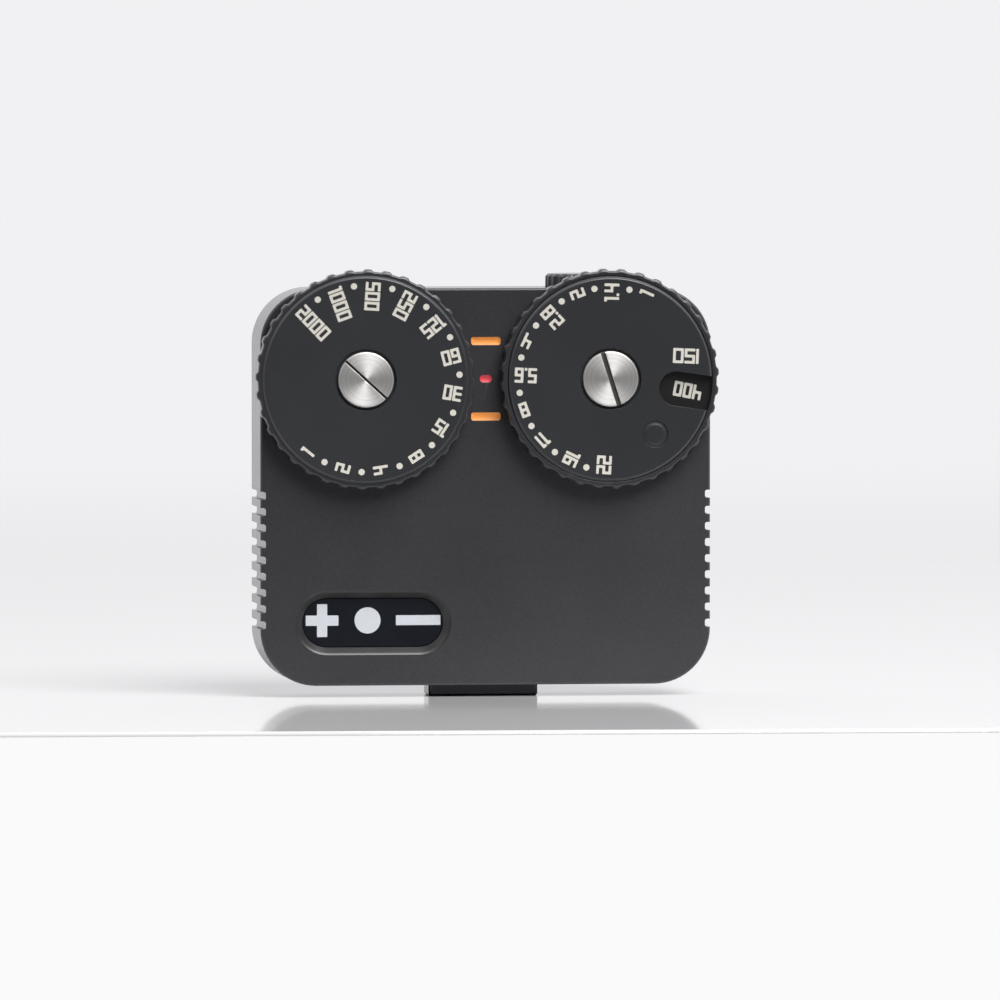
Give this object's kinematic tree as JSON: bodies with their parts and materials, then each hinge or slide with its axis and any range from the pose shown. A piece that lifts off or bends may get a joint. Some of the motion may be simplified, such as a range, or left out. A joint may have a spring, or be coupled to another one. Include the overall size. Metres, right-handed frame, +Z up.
{
  "type": "light meter",
  "caption": "Flat clip-on light meter: two knurled dials on its face, a measuring button, a status window, a shoe foot and a coin-cell door.",
  "frame": {"origin": "centre of the sensor window's flat end, on which the meter stands", "axes": "+Z up from the table, -Y out of the dial face, +X to the right as the dials are seen"},
  "size_m": [0.0432, 0.014, 0.0397],
  "materials": {
    "body_anodised": "bead-blasted and black anodised",
    "dial_anodised": "fine turned and black anodised",
    "turned_steel": "turned, with fine rings",
    "spring_steel": "rolled",
    "brass": "turned",
    "black_acrylic": "polished",
    "black_plastic": "moulded",
    "board": "solder resist",
    "lamp": "clear red lens",
    "cell_steel": "nickel plated",
    "white_enamel": "enamel filled into engraving",
    "orange_enamel": "enamel filled into engraving",
    "red_enamel": "enamel filled into engraving"
  },
  "bodies": {
    "housing": {"housing": "body_anodised", "back_cover": "body_anodised", "cover_screw_1": "turned_steel", "cover_screw_2": "turned_steel", "cover_screw_3": "turned_steel", "cover_screw_4": "turned_steel", "shoe_foot": "body_anodised", "shoe_foot_screw_1": "turned_steel", "shoe_foot_screw_2": "turned_steel", "coin_cell": "cell_steel", "battery_tray": "black_plastic", "battery_contact_negative": "brass", "battery_contact_positive": "brass", "circuit_board": "board", "board_screw_1": "turned_steel", "board_screw_2": "turned_steel", "board_screw_3": "turned_steel", "led_plus": "lamp", "led_dot": "lamp", "led_minus": "lamp", "controller_chip": "black_plastic", "light_sensor": "black_plastic", "status_window": "black_acrylic", "sensor_window": "black_acrylic", "shutter_bush": "brass", "aperture_bush": "brass", "shutter_wave_washer": "spring_steel", "aperture_wave_washer": "spring_steel", "shutter_encoder": "black_plastic", "aperture_encoder": "black_plastic", "button_spring": "spring_steel", "measuring_switch": "black_plastic"},
    "shutter_dial": {"shutter_dial": "dial_anodised", "shutter_dial_screw": "turned_steel", "shutter_spindle": "brass"},
    "aperture_dial": {"aperture_dial": "dial_anodised", "aperture_dial_screw": "turned_steel", "aperture_spindle": "brass"},
    "aperture_scale": {"aperture_scale_disc": "dial_anodised"},
    "measuring_button": {"measuring_button": "dial_anodised", "button_clip": "spring_steel", "switch_plunger": "lamp"},
    "battery_door": {"battery_door": "body_anodised"}
  },
  "joints": [
    {"name": "shutter_dial_turn", "type": "hinge", "parent": "housing", "child": "shutter_dial", "pos_m": [-0.0114, 0, 0.0295], "axis": [0, -1, 0], "range_deg": [-133.8, 129.1]},
    {"name": "aperture_dial_turn", "type": "hinge", "parent": "housing", "child": "aperture_dial", "pos_m": [0.0114, 0, 0.0295], "axis": [0, -1, 0], "range_deg": [-86.4, 113.9]},
    {"name": "film_speed_set", "type": "hinge", "parent": "aperture_dial", "child": "aperture_scale", "pos_m": [0.0114, 0, 0.0295], "axis": [0, -1, 0], "range_deg": [-66.75, 89]},
    {"name": "measuring_button_press", "type": "slide", "parent": "housing", "child": "measuring_button", "axis": [0, 0, -1], "range_m": [0, 0.0005], "stiffness_N_per_m": 600, "springref_m": -0.0008, "deforming": ["button_spring"]},
    {"name": "battery_door_turn", "type": "hinge", "parent": "housing", "child": "battery_door", "pos_m": [0, 0, 0.0145], "axis": [0, 1, 0], "range_deg": [0, 50]}
  ]
}
